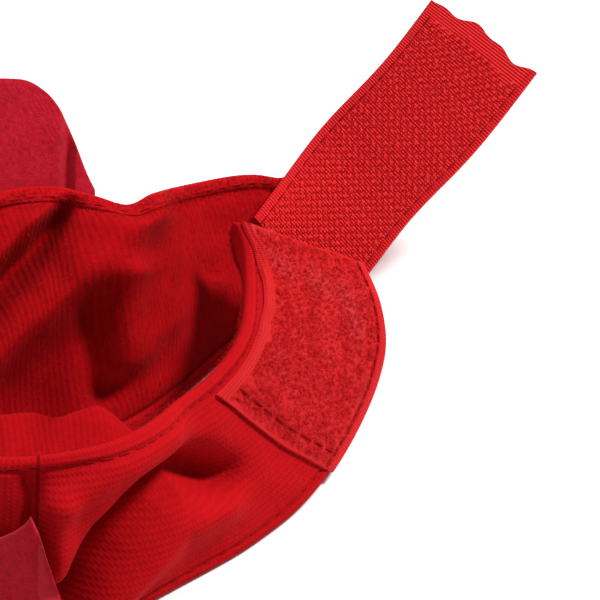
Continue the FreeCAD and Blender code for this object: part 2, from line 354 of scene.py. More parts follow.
def loft(rows, columns):
    """Faces of a tube of rows, each a ring of columns points, with its ends closed."""
    faces = []
    for i in range(rows - 1):
        for j in range(columns):
            k = (j + 1) % columns
            faces.append((i * columns + j, i * columns + k, (i + 1) * columns + k, (i + 1) * columns + j))
    return faces + [tuple(range(columns - 1, -1, -1)), tuple((rows - 1) * columns + j for j in range(columns))]


def face_out(thing):
    """Turns the faces of a closed mesh to the outside."""
    work = bmesh.new()
    work.from_mesh(thing.data)
    bmesh.ops.recalc_face_normals(work, faces=work.faces)
    work.to_mesh(thing.data)
    work.free()
    return thing


def even_places(start, stop):
    first, last = band.distance(start), band.distance(stop)
    count = max(2, int(round((last - first) / grid_step)))
    return band.place(np.linspace(first, last, count + 1))


def end_taper(along):
    """The folded ends of the two arms, rounded in thickness."""
    distance = band.distance(along)
    edge = np.minimum(distance, band.distance(last_station) - distance)
    return rounding(edge, 0.02)


def across_places(count):
    """Places across the band, closer together at the rims."""
    u = np.linspace(0, 1, count)
    return u - 0.55 * np.sin(TAU * u) / TAU


def cover_ring(s):
    """One turn of the cover round the band at a station, with its cloth map."""
    width = band.width(s)[0]
    hem = hem_at(s)
    outside = across_places(96)
    hem_across = np.linspace(0, hem / width, 9)[1:]
    back = np.linspace(hem / width, 1 - hem / width, 24)
    t = np.concatenate([outside, 1 - hem_across, back[::-1], hem_across[::-1]])
    along = np.full(len(t), s)
    height = np.empty(len(t))
    out, turned = len(outside), len(hem_across)
    height[:out] = outer_face(along[:out], t[:out])
    height[out:out + turned] = inner_face(along[:turned], t[out:out + turned]) - 0.12
    height[-turned:] = inner_face(along[:turned], t[-turned:]) - 0.12
    height[out + turned:-turned] = drape(along[:24], t[out + turned:-turned]) + 0.15
    base = drape(along, t)
    height = base + (height - base) * end_taper(along)
    v = t * width
    v[out:out + turned] = width + (1 - t[out:out + turned]) * width
    v[-turned:] = -t[-turned:] * width
    run = np.full(len(t), band.distance(s))
    return band_point(along, t, height), np.stack([run, v] if s < near_seam else [v, run], 1)


def lining_ring(s):
    """One turn of the lining at a station: its face from hem to hem, and its hidden back."""
    width = band.width(s)[0]
    inset = (hem_at(s) - 0.5) / width
    front = inset + (1 - 2 * inset) * across_places(90)
    t = np.concatenate([front, front[::-4][1:-1]])
    along = np.full(len(t), s)
    base = drape(along, t)
    height = base - 0.1
    edge = np.minimum(front - inset, 1 - inset - front) * width
    tuck = 0.35 * (1 - step_up(edge, 0.0, 0.7))
    height[:len(front)] = inner_face(along[:len(front)], front) + tuck
    height = base + (height - base) * end_taper(along)
    ring = band_point(along, t, height)
    ring[:len(front)] += roll(along[:len(front)], front)[:, None] * roll_way
    return ring, np.stack([np.full(len(t), band.distance(s)), t * width], 1)


def band_piece(name, ring_at, start, stop, finish):
    """A stretch of cloth lofted from its turns; where it meets the next stretch, both share their normals."""
    places = even_places(start, stop)
    rings, maps = zip(*[ring_at(s) for s in places])
    columns = len(rings[0])
    thing = face_out(piece_from(name, np.concatenate(rings), loft(len(places), columns), np.concatenate(maps),
                                finish))
    for cap in (-1, -2):
        thing.data.polygons[cap].use_smooth = False
    normals = np.zeros((len(places) * columns, 3))
    current = np.array([v.normal for v in thing.data.vertices])
    for row, s in ((0, start), (len(places) - 1, stop)):
        if s in (0.0, last_station):
            continue
        ahead = ring_at(s + 0.03)[0] - ring_at(s - 0.03)[0]
        beside = np.roll(rings[row], -1, axis=0) - np.roll(rings[row], 1, axis=0)
        normal = unit(np.cross(beside, ahead))
        rows = slice(row * columns, (row + 1) * columns)
        normal = normal * np.sign(np.sum(normal * current[rows], axis=1, keepdims=True))
        normals[rows] = normal
    thing.data.normals_split_custom_set_from_vertices(normals.tolist())
    return thing


# ---- Shader nodes ----
def add_node(tree, kind, settings=None, sockets=None):
    """A node with its settings, then the values or links of its sockets."""
    node = tree.nodes.new(kind)
    for key, value in (settings or {}).items():
        if key == "stops":
            for element, (place, colour) in zip(node.color_ramp.elements, value):
                element.position, element.color = place, colour
        else:
            setattr(node, key, value)
    for key, value in (sockets or {}).items():
        if isinstance(value, bpy.types.NodeSocket):
            tree.links.new(value, node.inputs[key])
        else:
            node.inputs[key].default_value = value
    return node


class Wire:
    """A socket's value, or a number, that can be used in expressions."""

    def __init__(self, finish, socket):
        self.finish, self.socket = finish, socket

    def math(self, operation, *others):
        values = {i + 1: other for i, other in enumerate(others)}
        return self.finish.add("ShaderNodeMath", {"operation": operation}, {0: self, **values})

    def __add__(self, other):
        return self.math("ADD", other)

    def __mul__(self, other):
        return self.math("MULTIPLY", other)

    def __sub__(self, other):
        return self.math("SUBTRACT", other)

    def __rsub__(self, other):
        return self * -1 + other

    def __truediv__(self, other):
        return self.math("DIVIDE", other)

    __radd__, __rmul__ = __add__, __mul__


class Finish:
    """One material: a Principled shader and whatever feeds it."""

    def __init__(self, name, **sockets):
        self.material = bpy.data.materials.new(name)
        self.material.use_nodes = True
        self.tree = self.material.node_tree
        self.shader = self.tree.nodes["Principled BSDF"]
        for key, value in sockets.items():
            self.shader.inputs[key.replace("_", " ")].default_value = value

    def add(self, kind, settings=None, sockets=None, output=0):
        given = {key: value.socket if isinstance(value, Wire) else value for key, value in (sockets or {}).items()}
        return Wire(self, add_node(self.tree, kind, settings, given).outputs[output])

    def feed(self, socket, wire):
        self.tree.links.new(wire.socket, self.shader.inputs[socket])

    def cloth(self):
        """The piece's own map, in millimetres along and across."""
        place = self.add("ShaderNodeUVMap", {"uv_map": "cloth"})
        parts = self.add("ShaderNodeSeparateXYZ", None, {0: place}).socket.node
        return Wire(self, parts.outputs[0]), Wire(self, parts.outputs[1])

    def tint(self, share):
        """Colour of the soft light that grazes the fibres."""
        self.shader.inputs["Sheen Tint"].default_value = rgb(1.0, share, share)

    def noise(self, scale, detail=3.0, roughness=0.55, place=None):
        return self.add("ShaderNodeTexNoise", {"noise_dimensions": "3D"},
                        {"Vector": place or self.object_place(), "Scale": scale, "Detail": detail,
                         "Roughness": roughness})

    def object_place(self):
        return self.add("ShaderNodeTexCoord", None, None, output=3)

    def blend(self, share, first, second):
        return self.add("ShaderNodeMix", {"data_type": "RGBA"},
                        {"Factor": share, 6: first, 7: second}, output=2)

    def bump(self, height, distance, strength=1.0, under=None):
        sockets = {"Height": height, "Distance": distance, "Strength": strength}
        if under is not None:
            sockets["Normal"] = under
        return self.add("ShaderNodeBump", None, sockets)


def rgb(red, green, blue):
    return (red, green, blue, 1.0)


def wave(position, pitch):
    """A hump from 0 to 1 once in each pitch."""
    return (position * (TAU / pitch)).math("COSINE") * 0.5 + 0.5


def knit_finish(name, dark, light, wale=1.05, course=0.8):
    """Smooth weft knit: columns of V stitches."""
    finish = Finish(name, Roughness=0.85, Sheen_Weight=0.05, Sheen_Roughness=0.4, Specular_IOR_Level=0.05)
    finish.tint(0.12)
    column, row = finish.cloth()
    local = (column / wale).math("FRACT") - 0.5
    slant = local.math("ABSOLUTE")
    stitches = wave(row + slant * (course * 1.1), course)
    columns = wave(column, wale)
    uneven = finish.noise(1100.0, 4.0)
    height = columns * 0.5 + stitches * 0.3 + uneven * 0.25
    broad = finish.noise(60.0, 3.0)
    # Colour: random tone from the noises, plus painted shade that darkens the grooves between the stitch columns
    # and rows.
    shade = (columns * 0.14 + stitches * 0.1 + uneven * 0.55 + broad * 0.3 - 0.05)
    finish.feed("Base Color", finish.blend(shade, dark, light))
    fine = finish.bump(height, 0.00013, 0.9)
    finish.feed("Normal", finish.bump(broad, 0.0006, 0.35, fine))
    return finish.material


def lining_finish():
    """Brushed rib knit: soft upright ribs under a short nap."""
    finish = Finish("brushed_rib", Roughness=0.95, Sheen_Weight=0.06, Sheen_Roughness=0.45, Specular_IOR_Level=0.03)
    finish.tint(0.12)
    along, across = finish.cloth()
    wander = finish.noise(45.0, 2.0)
    ribs = wave(along + across * 0.16 + wander * 1.6, 1.15)
    nap = finish.noise(2000.0, 4.0, 0.7)
    tufts = finish.noise(620.0, 3.0)
    # Colour: random tone from the nap and tufts, plus painted shade that darkens the hollows between the ribs.
    shade = ribs * 0.12 + nap * 0.45 + tufts * 0.43
    finish.feed("Base Color", finish.blend(shade, rgb(0.19, 0.001, 0.002), rgb(0.46, 0.004, 0.007)))
    rib_bump = finish.bump(ribs * 0.3 + tufts * 0.9, 0.0002, 0.9)
    finish.feed("Normal", finish.bump(nap, 0.00015, 0.9, rib_bump))
    return finish.material


def felt_finish(name, dark, light):
    """Pressed felt: mottled, with fine matted fibres."""
    finish = Finish(name, Roughness=0.97, Sheen_Weight=0.06, Sheen_Roughness=0.5, Specular_IOR_Level=0.04)
    mottle = finish.noise(850.0, 5.0, 0.7)
    stretched = finish.add("ShaderNodeMapping", None,
                           {"Vector": finish.object_place(), "Rotation": (0.3, 0.8, 0.5), "Scale": (1.0, 3.4, 1.0)})
    fibres = finish.noise(2400.0, 4.0, 0.75, stretched)
    broad = finish.noise(110.0, 2.0)
    shade = (mottle * 0.55 + fibres * 0.45 + broad * 0.35 - 0.2)
    ramp = finish.add("ShaderNodeValToRGB", {"stops": [(0.25, dark), (0.75, light)]}, {"Fac": shade})
    finish.feed("Base Color", ramp)
    finish.feed("Normal", finish.bump(mottle * 0.7 + fibres * 0.5, 0.0004, 1.0))
    return finish.material


def tape_finish(name, dark, light, width=0.0):
    """Woven tape: close ribs over the ground and cords along the selvedges."""
    finish = Finish(name, Roughness=0.6, Sheen_Weight=0.08, Specular_IOR_Level=0.14)
    finish.tint(0.15)
    along, across = finish.cloth()
    ribs = wave(along, 0.55)
    cords = wave(across, cord_pitch)
    if width:
        plain_edge = (across - width / 2).math("ABSOLUTE").math("GREATER_THAN", width / 2 - selvedge)
        ribs, cords = ribs * plain_edge, cords * plain_edge
    grain = finish.noise(1800.0, 3.0)
    # Colour: random tone from the grain, plus painted shade that darkens the hollows between the ribs and the
    # selvedge cords.
    shade = ribs * 0.4 + cords * 0.25 + grain * 0.4
    finish.feed("Base Color", finish.blend(shade, dark, light))
    finish.feed("Normal", finish.bump(ribs * 0.7 + cords * 0.4 + grain * 0.3, 0.00022, 0.9))
    return finish.material


def fibre_finish(name, dark, light, roughness, specular):
    """Threads, hooks and loops: varies from copy to copy."""
    finish = Finish(name, Roughness=roughness, Specular_IOR_Level=specular, Sheen_Weight=0.03)
    uneven = finish.noise(900.0, 3.0)
    finish.feed("Base Color", finish.blend(uneven, dark, light))
    return finish.material


def card_finish():
    finish = Finish("guard_card", Roughness=0.7)
    speck = finish.noise(300.0, 3.0)
    finish.feed("Base Color", finish.blend(speck, rgb(0.7, 0.69, 0.66), rgb(0.86, 0.85, 0.82)))
    return finish.material


finishes = {
    "knit": knit_finish("smooth_knit", rgb(0.24, 0.0012, 0.0025), rgb(0.52, 0.004, 0.008)),
    "cushion": knit_finish("cushion_knit", rgb(0.27, 0.0015, 0.003), rgb(0.56, 0.005, 0.010), 0.95, 0.75),
    "lining": lining_finish(),
    "felt": felt_finish("pressed_felt", rgb(0.30, 0.003, 0.011), rgb(0.68, 0.014, 0.036)),
    "hook_ground": tape_finish("hook_ground", rgb(0.46, 0.003, 0.005), rgb(0.74, 0.010, 0.015)),
    "loop_ground": tape_finish("loop_ground", rgb(0.42, 0.003, 0.005), rgb(0.60, 0.007, 0.011), patch_width),
    "thread": fibre_finish("thread", rgb(0.22, 0.0012, 0.0025), rgb(0.42, 0.004, 0.007), 0.8, 0.03),
    "hooks": fibre_finish("hooks", rgb(0.62, 0.004, 0.006), rgb(0.90, 0.025, 0.028), 0.35, 0.25),
    "nap": fibre_finish("nap", rgb(0.30, 0.002, 0.003), rgb(0.58, 0.006, 0.010), 0.9, 0.02),
    "loops": fibre_finish("loops", rgb(0.42, 0.003, 0.005), rgb(0.57, 0.005, 0.009), 0.85, 0.05),
    "card": card_finish(),
}


# ---- Repeated small things ----
def scatter_tree():
    """Puts a copy of Item on every point, turned and sized by the points' attributes."""
    tree = bpy.data.node_groups.new("scatter", "GeometryNodeTree")
    for name, kind in (("Geometry", "Geometry"), ("Item", "Object"), ("Finish", "Material"), ("Tilt", "Float"),
                       ("Uneven", "Float"), ("Seed", "Int")):
        tree.interface.new_socket(name, in_out="INPUT", socket_type="NodeSocket" + kind)
    tree.interface.new_socket("Geometry", in_out="OUTPUT", socket_type="NodeSocketGeometry")

    def add(kind, settings=None, sockets=None, output=0):
        return add_node(tree, kind, settings, sockets).outputs[output]

    def maths(operation, first, second):
        return add("ShaderNodeMath", {"operation": operation}, {0: first, 1: second})

    def chance(low, high, seed):
        return add("FunctionNodeRandomValue", {"data_type": "FLOAT"}, {2: low, 3: high, "Seed": seed}, output=1)

    given = add_node(tree, "NodeGroupInput").outputs
    tilt, uneven, seed = given["Tilt"], given["Uneven"], given["Seed"]
    item = add("GeometryNodeObjectInfo", None, {"Object": given["Item"]}, output="Geometry")
    turn = add("GeometryNodeInputNamedAttribute", {"data_type": "FLOAT_VECTOR"}, {"Name": "turn"})
    size = add("GeometryNodeInputNamedAttribute", {"data_type": "FLOAT"}, {"Name": "size"})
    other_way = maths("MULTIPLY", tilt, -1.0)
    lean = add("ShaderNodeCombineXYZ", None, {0: chance(other_way, tilt, seed),
                                              1: chance(other_way, tilt, maths("ADD", seed, 1.0))})
    spread = chance(maths("SUBTRACT", 1.0, uneven), maths("ADD", 1.0, uneven), seed)
    placed_items = add("GeometryNodeInstanceOnPoints", None,
                       {"Points": given["Geometry"], "Instance": item, "Rotation": turn,
                        "Scale": maths("MULTIPLY", size, spread)})
    leaned = add("GeometryNodeRotateInstances", None, {"Instances": placed_items, "Rotation": lean})
    real = add("GeometryNodeRealizeInstances", None, {0: leaned})
    painted = add("GeometryNodeSetMaterial", None, {"Geometry": real, "Material": given["Finish"]})
    add_node(tree, "NodeGroupOutput", None, {0: painted})
    return tree


copies_tree = scatter_tree()


def turns_from(ahead, up):
    """Euler angles that lay a small item's X along ahead and its Z along up."""
    turns = []
    for a, u in zip(ahead, up):
        x = Vector(a).normalized()
        y = Vector(u).cross(x).normalized()
        z = x.cross(y)
        turns.append(tuple(Matrix((x, y, z)).transposed().to_euler()))
    return turns


def copies(name, item, points, ahead, up, finish, sizes=None, tilt=0.0, uneven=0.0, seed=1):
    """One mesh of many copies of a small item; points are in millimetres."""
    start = piece_from(name + "_points", points, [])
    start.data.attributes.new("turn", "FLOAT_VECTOR", "POINT").data.foreach_set(
        "vector", np.array(turns_from(ahead, up), np.float32).ravel())
    sizes = np.ones(len(points)) if sizes is None else sizes
    start.data.attributes.new("size", "FLOAT", "POINT").data.foreach_set("value", np.asarray(sizes, np.float32))
    modifier = start.modifiers.new("copies", "NODES")
    modifier.node_group = copies_tree
    keys = {s.name: s.identifier for s in copies_tree.interface.items_tree if s.in_out == "INPUT"}
    modifier[keys["Item"]] = item
    modifier[keys["Finish"]] = finish
    modifier[keys["Tilt"]] = tilt
    modifier[keys["Uneven"]] = uneven
    modifier[keys["Seed"]] = seed
    bpy.context.view_layer.update()
    ready = start.evaluated_get(bpy.context.evaluated_depsgraph_get())
    mesh = bpy.data.meshes.new_from_object(ready)
    for spare in ("turn", "size"):
        if spare in mesh.attributes:
            mesh.attributes.remove(mesh.attributes[spare])
    bpy.data.objects.remove(start)
    mesh.name = name
    return placed(name, mesh)


def swept(name, route, widths, sides):
    """A small closed tube along a route of points in millimetres."""
    route = np.array(route, float)
    rings = []
    for i, middle in enumerate(route):
        run = unit(route[min(i + 1, len(route) - 1)] - route[max(i - 1, 0)])
        across = unit(np.cross(run, (0.0, 1.0, 0.02)))
        third = np.cross(run, across)
        turn = np.arange(sides) * TAU / sides
        rings.append(middle + widths[i] * (np.cos(turn)[:, None] * across + np.sin(turn)[:, None] * third))
    thing = face_out(piece_from(name, np.concatenate(rings), loft(len(route), sides)))
    thing.hide_render = thing.hide_viewport = True
    small_items.append(thing)
    return thing


small_items = []
stitch_item = swept("stitch_item", [(x * stitch_long / 2, 0, 0.16 * (1 - x * x) - 0.05) for x in
                                    (-1, -0.85, -0.4, 0.0, 0.4, 0.85, 1)],
                    [0.07, 0.15, 0.18, 0.19, 0.18, 0.15, 0.07], 8)
hook_item = swept("hook_item", [(-0.42, 0, 0.0), (-0.36, 0, 0.42), (-0.16, 0, 0.74), (0.14, 0, 0.84),
                                (0.38, 0, 0.66), (0.42, 0, 0.4)], [0.15, 0.14, 0.13, 0.12, 0.12, 0.08], 6)
loop_item = swept("loop_item", [(-0.28, 0, 0.0), (-0.32, 0.03, 0.32), (-0.05, 0.06, 0.6), (0.24, 0.02, 0.4),
                                (0.2, 0, 0.05)], [0.05, 0.05, 0.045, 0.045, 0.04], 3)
fuzz_item = swept("fuzz_item", [(0, 0, 0.0), (0.12, 0.03, 0.3), (0.4, 0.0, 0.55), (0.8, 0, 0.62)],
                  [0.035, 0.035, 0.03, 0.02], 3)


# ---- The band ----
def flex_ends(strip, place, reach):
    """Start and end, in metres, of the stretch about a bending line."""
    middle = strip.distance(place)
    spots = strip.place(np.array((middle - reach, middle + reach)))
    ends = strip.point(spots, 0.5, 0.0) * MM
    return tuple(ends[0]), tuple(ends[1])


half_ring, half_front = 7.5, 12.5       # where the cloth's meshes meet, away from the bending lines
band_parts = [
    ("back", 0.0, half_ring, back_seam, "back_arm", "centre"),
    ("front", half_ring, half_front, near_seam, "centre", "near_arm"),
    ("end", half_front, last_station, patch_line, "near_arm", "near_end"),
]
stands_for = {
    "back": ["back_arm_{}", "centre_{}"],
    "front": ["centre_{}"],
    "end": ["near_arm_{}", "near_end_{}"],
}


def bend_part(thing, part):
    """Finds the stretch about a piece's bending line, which is then not used, and bakes the piece's transform."""
    _, _, _, line, before, after = part
    reach = patch_flex if part[0] == "end" else flex_reach
    start, end = flex_ends(band, line, reach)
    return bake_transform(thing)


def finish_cloth(thing, part, kind):
    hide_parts(*[node.format(kind) for node in stands_for[part[0]]])
    bend_part(thing, part)


for part in band_parts:
    name, start, stop = part[:3]
    across_size = float(np.mean(band.width(np.linspace(start, stop, 30))))
    finish_cloth(band_piece("cover_" + name, cover_ring, start, stop, finishes["knit"]),
                 part, "cover")
    finish_cloth(band_piece("lining_" + name, lining_ring, start, stop, finishes["lining"]),
                 part, "lining")


def face_frame(face, along, across):
    """Points on a face of the band with the way ahead and the outward side."""
    step = 0.3
    distance = band.distance(along)
    width = band.width(along)
    here = band_point(along, across, face(along, across))
    later = band.place(distance + step)
    ahead = band_point(later, across, face(later, across)) - here
    beside_across = across + step / width
    beside = band_point(along, beside_across, face(along, beside_across)) - here
    out = unit(np.cross(beside, ahead))
    normal = band.outward(along)
    out = out * np.sign(np.sum(out * normal, axis=1, keepdims=True))
    return here, unit(ahead), out


def stitch_row(start, stop, inset_upper, inset_lower, face, side):
    """Places of a row of stitches along both rims, on one face."""
    spots = np.arange(band.distance(start) + 2.0, band.distance(stop) - 1.0, stitch_pitch)
    along = band.place(spots)
    width = band.width(along)
    rows = [(along, inset_upper / width), (along, 1 - inset_lower / width)]
    found = [face_frame(face, a, t) for a, t in rows]
    here, ahead, out = (np.concatenate([f[k] for f in found]) for k in range(3))
    return here + out * side * 0.05, ahead, out * side


for part in band_parts:
    name, start, stop = part[:3]
    outside = stitch_row(start, stop, seam_inset, seam_inset, outer_face, 1)
    hem = back_hem - 0.9 if name == "back" else near_hem + 0.9
    inside = stitch_row(start, stop, hem, hem, inner_face, -1)
    points, ahead, up = (np.concatenate(pair) for pair in zip(outside, inside))
    row = copies("topstitch_" + name, stitch_item, points, ahead, up, finishes["thread"], tilt=0.06, uneven=0.08)
    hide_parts(*[node.format("topstitch") for node in stands_for[name]])
    bend_part(row, part)


# ---- Nap ----
nap_draw = np.random.default_rng(21)


def lining_point(along, across):
    return band_point(along, across, inner_face(along, across)) + roll(along, across)[:, None] * roll_way


def nap(part, count):
    """Short fibres over the lining and its rims."""
    name, start, stop, _, before, _ = part
    along = band.place(nap_draw.uniform(band.distance(start) + 1, band.distance(stop) - 1, count))
    width = band.width(along)
    hem = hem_at(along)
    near = nap_draw.uniform(0, 1, count) < 0.45
    edge = np.where(near, nap_draw.uniform(0.1, 1.0, count) * (hem + 1.2),
                    nap_draw.uniform(0, 1, count) * width * 0.9)
    across = np.clip(edge / width, 0.01, 0.97)
    here = lining_point(along, across)
    later = lining_point(band.place(band.distance(along) + 0.3), across) - here
    beside = lining_point(along, across + 0.01) - here
    out = unit(np.cross(later, beside))
    out = out * -np.sign(np.sum(out * band.outward(along), axis=1, keepdims=True))
    spin = nap_draw.uniform(0, TAU, count)[:, None]
    ahead = unit(later) * np.cos(spin) + unit(beside) * np.sin(spin)
    fibres = copies("nap_" + name, fuzz_item, here - out * 0.05, ahead, out, finishes["nap"],
                    sizes=nap_draw.uniform(0.5, 1.05, count), tilt=0.4, uneven=0.2, seed=12)
    bend_part(fibres, part)


for part, count in zip(band_parts, (6400, 6000, 6400)):
    nap(part, count)

# ---- Tapes ----
def slab(name, place, top, bottom, finish, rows, columns):
    """A closed slab; place(u, v) gives points, outward sides and the map of its middle face."""
    u, v = np.meshgrid(np.linspace(0, 1, rows), np.linspace(0, 1, columns), indexing="ij")
    points, sides, maps = place(u.ravel(), v.ravel())
    upper = points + sides * top(u.ravel(), v.ravel())[:, None]
    lower = points + sides * bottom(u.ravel(), v.ravel())[:, None]
    count = rows * columns
    faces = []
    for i in range(rows - 1):
        for j in range(columns - 1):
            face = [i * columns + j, i * columns + j + 1, (i + 1) * columns + j + 1, (i + 1) * columns + j]
            faces += [tuple(face), tuple(k + count for k in reversed(face))]
    border = ([(0, j) for j in range(columns)] + [(i, columns - 1) for i in range(1, rows)]
              + [(rows - 1, j) for j in range(columns - 2, -1, -1)] + [(i, 0) for i in range(rows - 2, 0, -1)])
    ring = [i * columns + j for i, j in border]
    for a, b in zip(ring, ring[1:] + ring[:1]):
        faces.append((b, a, a + count, b + count))
    thing = piece_from(name, np.concatenate([upper, lower]), faces, np.concatenate([maps, maps]), finish)
    thing.data.set_sharp_from_angle(angle=math.radians(50))
    return face_out(thing)


tape_split, tape_end = 2.7, 5.0
tape_spare = 2.2           # cloth beyond the last row of hooks
tape_flex = 4.0            # reach each side of a bending line, used only to find the stretch there
tape_run = float(tape.distance(tape_end))


def tape_end_wave(v):
    """The uneven cut across the tape's free end, as a shortening in millimetres."""
    return 1.1 + 0.7 * np.sin(v * 9.0 + 0.6) + 0.35 * np.sin(v * 23.0 + 1.9)


def tape_place(start, stop):
    def place(u, v):
        first, last = tape.distance(start), tape.distance(stop)
        run = first + (last - first) * u
        if stop == tape_end:
            run = np.where(u > 0.9, run + (u - 0.9) * 10 * (tape_spare - tape_end_wave(v)), run)
        along = tape.place(run)
        points = tape.point(along, v, tape_seat)
        points = points + tape.run(along) * np.maximum(run - tape_run, 0)[:, None]
        return points, tape.outward(along), np.stack([run, v * tape_width], 1)
    return place


def tape_top(u, v):
    edge = np.minimum(v, 1 - v) * tape_width
    cord = 0.16 * np.abs(np.sin(edge * math.pi / cord_pitch)) * (edge < selvedge)
    return ground_thick + 0.1 + cord - 0.35 * (1 - step_up(edge, 0.0, 0.4))


def tape_bottom(u, v):
    edge = np.minimum(v, 1 - v) * tape_width
    return 0.1 + 0.25 * (1 - step_up(edge, 0.0, 0.4))


def between(spots, start, stop):
    return spots[(spots >= tape.distance(start)) & (spots < tape.distance(stop))]


def hook_points(start, stop):
    """Rows of hooks on one grid over the whole tape, every second row shifted and two by two turned about."""
    points, ahead, up = [], [], []
    for run in between(np.arange(first_hook, tape_run - 0.9, hook_pitch / 2), start, stop):
        number = int(round((run - first_hook) / (hook_pitch / 2)))
        shift = 0.5 * (number % 2)
        side = np.arange(selvedge + 0.8 + shift * hook_pitch, tape_width - selvedge - 0.6, hook_pitch)
        v = side / tape_width
        if stop == tape_end:
            v = v[run < tape.distance(stop) - tape_end_wave(v) - 0.7]
        along = np.full(len(v), tape.place(run))
        points.append(tape.point(along, v, tape_seat + ground_thick))
        up.append(tape.outward(along))
        ahead.append(unit(tape.frame(along)[1]) * (1 if number % 4 < 2 else -1))
    return np.concatenate(points), np.concatenate(ahead), np.concatenate(up)


def tape_side_rows(start, stop):
    spots = between(np.arange(1.0, tape_run - 2.2, 2.9), start, stop)
    along = np.tile(tape.place(spots), 2)
    inset = 0.9 * selvedge / tape_width
    v = np.repeat((1 - inset, inset), len(spots))
    points = tape.point(along, v, tape_seat + ground_thick + 0.25)
    return points, tape.run(along), tape.outward(along)


tape_parts = [
    ("root", 0.0, tape_split, tape_bends[0], "back_arm", "tab", ["hook_tape_root", "hook_tape_middle"]),
    ("tip", tape_split, tape_end, tape_bends[1], "tab", "tab_tip", ["hook_tape_tip", "hook_tape_middle"]),
]
for name, start, stop, line, before, after, nodes in tape_parts:
    rows = int((tape.distance(stop) - tape.distance(start)) / tape_cell)
    ground = slab("hook_ground_" + name, tape_place(start, stop), tape_top, tape_bottom,
                  finishes["hook_ground"], rows, 81)
    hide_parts(*nodes)
    hook_places = hook_points(start, stop)
    hooks = copies("hooks_" + name, hook_item, *hook_places, finishes["hooks"],
                   sizes=np.full(len(hook_places[0]), 0.84), tilt=0.16, uneven=0.08, seed=3)
    rows_at_sides = copies("hook_tape_rows_" + name, stitch_item, *tape_side_rows(start, stop),
                           finishes["thread"], tilt=0.05, uneven=0.06, seed=4)
    if name == "root":
        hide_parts("hook_tape_stitching")
    for thing, finish in ((ground, "hook_tape"), (hooks, "hook_tape"), (rows_at_sides, "thread")):
        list(flex_ends(tape, line, tape_flex))
        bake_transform(thing)

cut_upper, cut_lower, patch_end = 14.12, 15.1, float(band.place(band.distance(last_station) - 0.8))
patch_low = 1.0


def patch_coordinates(u, v):
    """Station and share across of a place on the loop tape."""
    first = band.distance(cut_upper + (cut_lower - cut_upper) * v)
    run = first + (band.distance(patch_end) - first) * u
    along = band.place(run)
    share = patch_width / band.width(along)
    return along, patch_low - share * (1 - v), run


def patch_place(u, v):
    along, across, run = patch_coordinates(u, v)
    points = band_point(along, across, outer_face(along, np.clip(across, 0.06, 0.94)))
    return points, band.outward(along), np.stack([run, v * patch_width], 1)


patch_length = float(band.distance(patch_end) - band.distance((cut_upper + cut_lower) / 2))
patch = slab("loop_tape_ground", patch_place, tape_top, tape_bottom,
             finishes["loop_ground"], int(patch_length / tape_cell), 81)
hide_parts("loop_tape")
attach(patch, "near_end")

pile_draw = np.random.default_rng(11)
pile_u = pile_draw.uniform(0.015, 0.985, 7400)
pile_v = pile_draw.uniform(1.9 / tape_width, 1 - 1.7 / tape_width, 7400)
pile_along, pile_across, _ = patch_coordinates(pile_u, pile_v)
_, pile_ahead, pile_out = face_frame(outer_face, pile_along, np.clip(pile_across, 0.06, 0.94))
pile_shift = patch_place(pile_u, pile_v)[0] + pile_out * (ground_thick + 0.05)
spin = pile_draw.uniform(0, TAU, len(pile_u))[:, None]
pile_side = np.cross(pile_out, pile_ahead)
pile = copies("loop_pile", loop_item, pile_shift, pile_ahead * np.cos(spin) + pile_side * np.sin(spin), pile_out,
              finishes["loops"], sizes=np.full(len(pile_u), 0.78), tilt=0.4, uneven=0.25, seed=5)
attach(pile, "near_end")


def patch_rows():
    """Stitching inside the loop tape's lower edge and its cut end."""
    steps = int(patch_length / 3.0)
    u = np.linspace(0.03, 0.97, steps)
    rows = [(u, np.full(steps, 0.93)), (np.full(8, 0.075), np.linspace(0.12, 0.88, 8))]
    u, v = (np.concatenate(part) for part in zip(*rows))
    here, side, _ = patch_place(u, v)
    later = patch_place(np.clip(u + 0.01, 0, 1), v)[0] - here
    beside = patch_place(u, np.clip(v + 0.01, 0, 1))[0] - here
    ahead = np.where((np.arange(len(u)) < steps)[:, None], later, beside)
    return here + side * (ground_thick + 0.35), unit(ahead), side


tape_rows = copies("loop_tape_rows", stitch_item, *patch_rows(), finishes["thread"], tilt=0.05, uneven=0.06, seed=6)
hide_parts("loop_tape_stitching")
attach(tape_rows, "near_end")


# ---- Seams across the band ----
def seam_row(place, part, name, node):
    """A row of stitches across the band beside one of its seams."""
    width = band.width(place)[0]
    across = np.arange(3.5, width - 3.0, stitch_pitch) / width
    along = np.full(len(across), float(band.place(band.distance(place) - 1.3)))
    here, _, out = face_frame(outer_face, along, across)
    beside = face_frame(outer_face, along, across + 0.01)[0] - here
    row = copies(name, stitch_item, here + out * 0.1, unit(beside), out, finishes["thread"],
                 tilt=0.05, uneven=0.06, seed=8)
    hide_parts(node)
    bend_part(row, part)


seam_row(back_seam, band_parts[0], "back_seam_row", "back_seam_thread")
seam_row(near_seam, band_parts[1], "near_seam_row", "near_seam_thread")

# ---- Felt ----
wing_seat = 2.75
back_line, near_line = 5.75, 9.35


def rounded(u, v, corner, size):
    """Rises from 0 to 1 towards a corner, within a share of the length and of the width."""
    x = np.clip(1 - np.abs(u - corner[0]) / size[0], 0, 1)
    y = np.clip(1 - np.abs(v - corner[1]) / size[1], 0, 1)
    return x * x * y * y


def wing_height(along, across):
    """Middle of the felt's thickness, lying on the outside of the cloth."""
    under = outer_face(along, np.clip(across, 0.07, 0.93)) + 0.5
    return np.maximum(under, wing_seat) + felt_thick / 2


